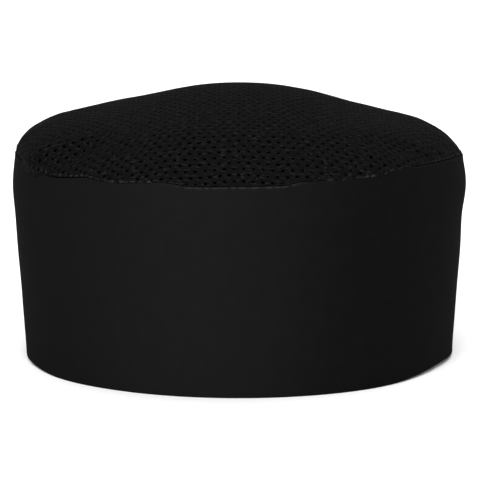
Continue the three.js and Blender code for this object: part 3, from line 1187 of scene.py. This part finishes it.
# %% [markdown]
# ### Eyelet knit of the crown
#
# Filament polyester, warp-knitted: smoother threads than the band's, so it is a shade darker where
# it faces the light and gleams more at a flat angle, which is what lights the far edge of the dome.

# %% Make the knit
WALE = 0.6 * MM  # distance of the knit's columns, coarser than real so that they show
COURSE = 1.2 * WALE  # and of its rows
WAVE_PERIOD = 2 * math.pi / 20  # of the wave texture's straight bands at scale 1
FLECK = (2.6 * MM, 0.8 * MM)  # a bright float of filament, coarser than real so that it shows
DYE_PATCH = 9 * MM
HIGHLIGHT_LINE_WIDTH = 0.7 * MM


def highlight_line(material):
    """How near a highlight line a point is, times how strong the painted highlight is there."""
    away = add_node(material, "Attribute", attribute_name="from_highlight_line")
    near = add_node(
        material,
        "MapRange",
        {"Value": away.outputs["Fac"], "From Max": HIGHLIGHT_LINE_WIDTH, "To Min": 1.0, "To Max": 0.0},
        interpolation_type="SMOOTHSTEP",
    )
    painted_highlight = add_node(material, "Attribute", attribute_name="painted_highlight")
    marked = add_node(
        material, "Math", {0: near.outputs["Result"], 1: painted_highlight.outputs["Fac"]}, operation="MULTIPLY"
    )
    return marked.outputs[0]


def make_knit():
    material = new_material("black_polyester_eyelet_knit")
    metres = add_node(material, "UVMap", uv_map="metres").outputs[0]
    wales, courses = (
        add_node(
            material,
            "TexWave",
            {"Vector": metres, "Scale": WAVE_PERIOD / spacing, "Distortion": 1.5, "Detail": 2.0},
            wave_type="BANDS",
            bands_direction=direction,
        )
        for spacing, direction in ((WALE, "X"), (COURSE, "Y"))
    )
    loops = add_node(
        material, "Math", {0: wales.outputs["Fac"], 1: courses.outputs["Fac"]}, operation="MULTIPLY"
    )
    bump = add_node(
        material, "Bump", {"Strength": 0.6, "Distance": 0.1 * MM, "Height": loops.outputs[0]}
    )
    patches = add_node(
        material, "TexNoise", {"Vector": metres, "Scale": 1 / DYE_PATCH, "Detail": 4.0}
    )
    tone = add_node(
        material,
        "Mix",
        {"Factor": patches.outputs["Fac"], "A": linear("#080808"), "B": linear("#0c0c0c")},
        data_type="RGBA",
    )
    drawn_out = add_node(
        material, "Mapping", {"Vector": metres, "Scale": (1 / FLECK[0], 1 / FLECK[1], 1)}
    )
    floats = add_node(
        material, "TexNoise", {"Vector": drawn_out.outputs[0], "Scale": 1.0, "Detail": 2.0}
    )
    bright = add_node(
        material, "MapRange", {"Value": floats.outputs["Fac"], "From Min": 0.56, "From Max": 0.7}
    )
    flecked = add_node(
        material,
        "Mix",
        {"Factor": bright.outputs["Result"], "A": tone.outputs["Result"], "B": linear("#1e1e1e")},
        data_type="RGBA",
    )
    # Painted highlight along the mesh's lip and on its fold, in #2e2e2e.
    painted_highlight = highlight_line(material)
    highlighted_tone = with_painted_highlight(material, metres, flecked.outputs["Result"], "#2e2e2e", painted_highlight)
    look = {"Base Color": highlighted_tone, "Normal": bump.outputs[0], "Roughness": 0.75, "IOR": 1.06}
    return finish_material(material, look)


knit = make_knit()
crown.data.materials.append(knit)
margin.data.materials.append(knit)

# %% [markdown]
# ### Thread
#
# Spun polyester sewing thread, dyed black: a little glossier than the cloth around it, so that the
# stitches show by their gleam.

# %% Make the thread
TWIST = 0.4 * MM  # distance of the turns of its strands


def make_thread():
    material = new_material("black_polyester_thread")
    metres = add_node(material, "UVMap", uv_map="metres").outputs[0]
    twist = add_node(
        material,
        "TexWave",
        {"Vector": metres, "Scale": DIAGONAL_PERIOD / TWIST, "Distortion": 0.3},
        wave_type="BANDS",
        bands_direction="DIAGONAL",
    )
    bump = add_node(
        material, "Bump", {"Strength": 0.5, "Distance": 0.05 * MM, "Height": twist.outputs["Fac"]}
    )
    dye = linear("#1e1e1f")
    look = {"Base Color": dye, "Normal": bump.outputs[0], "Roughness": 0.55, "IOR": 1.3}
    return finish_material(material, look)


thread = make_thread()
overlock.data.materials.append(thread)
lockstitch.data.materials.append(thread)

# %% [markdown]
# ## Stage and light
#
# Black cloth needs a lot of soft light and a bright ground. A pale floor fills the whole view. The
# main lamp stands in front, a little left of the camera and higher. A weaker one hangs above and
# behind, so that the far rim of the crown and the turned edge gleam. Both are wide, which keeps
# the shadows soft.

# %% Make the floor and the lamps
FLOOR_SIDE = 8.0
SKY_STRENGTH = 0.52


def make_floor():
    shape = bmesh.new()
    bmesh.ops.create_grid(shape, x_segments=1, y_segments=1, size=FLOOR_SIDE / 2)
    floor = make_object("floor", shape)
    look = {"Base Color": linear("#fcfcfc"), "Roughness": 0.9, "Specular IOR Level": 0.1}
    floor.data.materials.append(finish_material(new_material("white_paper"), look))
    floor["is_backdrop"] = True


def add_soft_light(name, azimuth, elevation, spread, strength):
    """Light from a wide far source: where it comes from, how wide it is (degrees), how strong."""
    lamp = bpy.data.lights.new(name, "SUN")
    lamp.angle = math.radians(spread)
    lamp.energy = strength
    stand = bpy.data.objects.new(name, lamp)
    tilt = math.radians(90 - elevation)
    stand.rotation_euler = (tilt, 0, math.radians(azimuth))
    bpy.context.scene.collection.objects.link(stand)


make_floor()
add_soft_light("front_left_softbox", azimuth=-6, elevation=36, spread=42, strength=3.4)
add_soft_light("top_softbox", azimuth=170, elevation=70, spread=50, strength=1.35)
world = bpy.data.worlds.new("studio")
world.use_nodes = True
sky = world.node_tree.nodes["Background"].inputs
sky["Color"].default_value = (1, 1, 1, 1)
sky["Strength"].default_value = SKY_STRENGTH
bpy.context.scene.world = world
bpy.context.scene.view_settings.view_transform = "Standard"

# %% [markdown]
# ## Size of the visual model
#
# The box of the visual model is measured against the solids' box, and how far it grew along each
# axis is printed. The visual model has to stay inside the solids' box, apart from what cloth may
# stand proud.

visual_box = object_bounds()
growth = [(visual_box[1] - visual_box[0])[n] - cap_size[n] for n in range(3)]
print("visual box grew by, mm:", [round(g / MM, 2) for g in growth])
